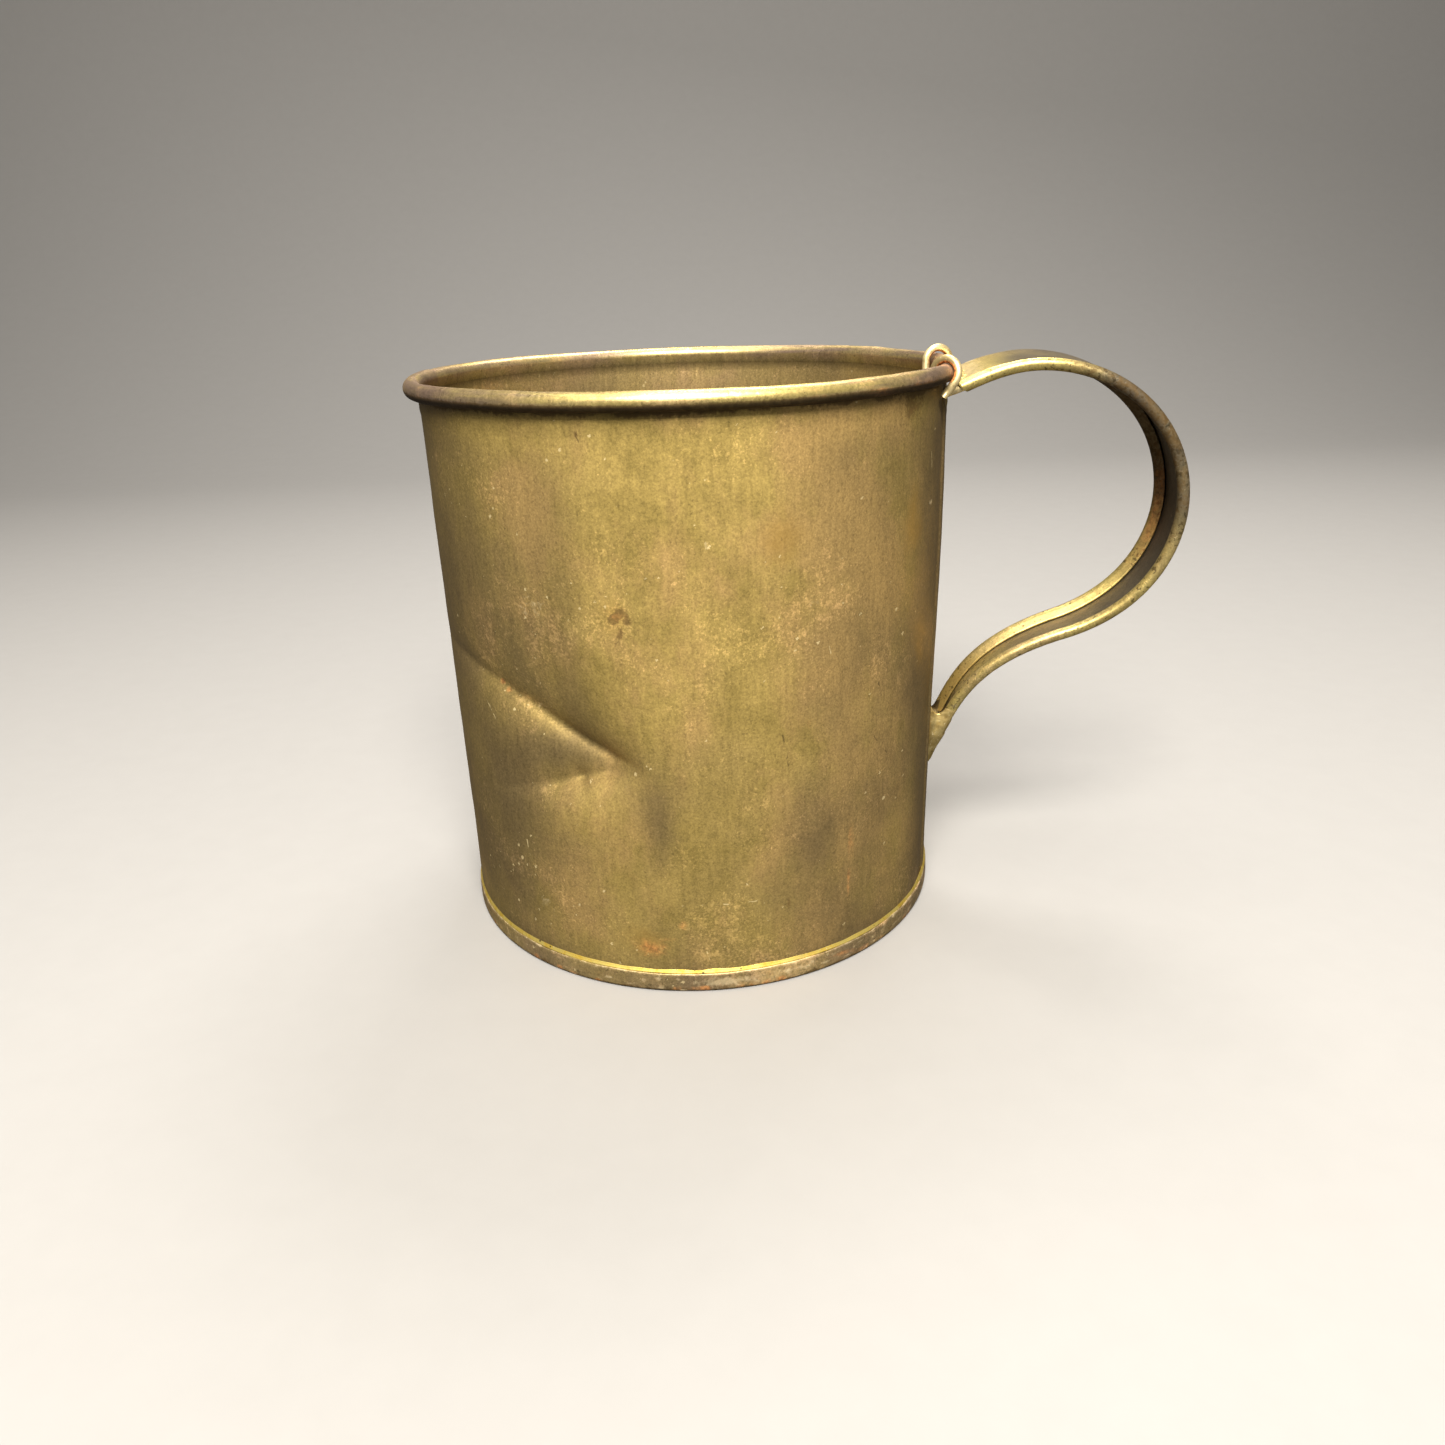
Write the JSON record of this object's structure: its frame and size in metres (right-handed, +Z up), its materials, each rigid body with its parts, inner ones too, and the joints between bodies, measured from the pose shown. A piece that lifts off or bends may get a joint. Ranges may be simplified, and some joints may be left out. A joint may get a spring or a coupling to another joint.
{
  "type": "drinking cup",
  "caption": "Soldered tinplate drinking cup with a rolled rim, a flanged flat bottom and a wired strap handle hooked over the rim.",
  "frame": {"origin": "centre of the flat underside, on the cup's axis", "axes": "+Z up along the cup's axis, +X from the axis out through the handle"},
  "size_m": [0.1377, 0.098, 0.1036],
  "materials": {
    "tinplate_wall": "aged tinplate, satin, blotchy olive-brown patina",
    "tinplate_bottom": "aged tinplate, satin, with pale rubbed patches and rust specks",
    "tinplate_handle": "aged tinplate, worn bright on the rolled edges",
    "wire": "tinned iron wire, worn, with rust",
    "solder": "old soft solder, lumpy and bright"
  },
  "bodies": {
    "root": {"cup_body": "tinplate_wall", "rim_wire": "wire", "bottom_pan": "tinplate_bottom", "bottom_seam_solder": "solder", "side_seam_solder": "solder", "handle_strap": "tinplate_handle", "handle_wire_front": "wire", "handle_wire_rear": "wire", "handle_top_solder": "solder", "handle_bottom_solder": "solder"}
  },
  "joints": []
}
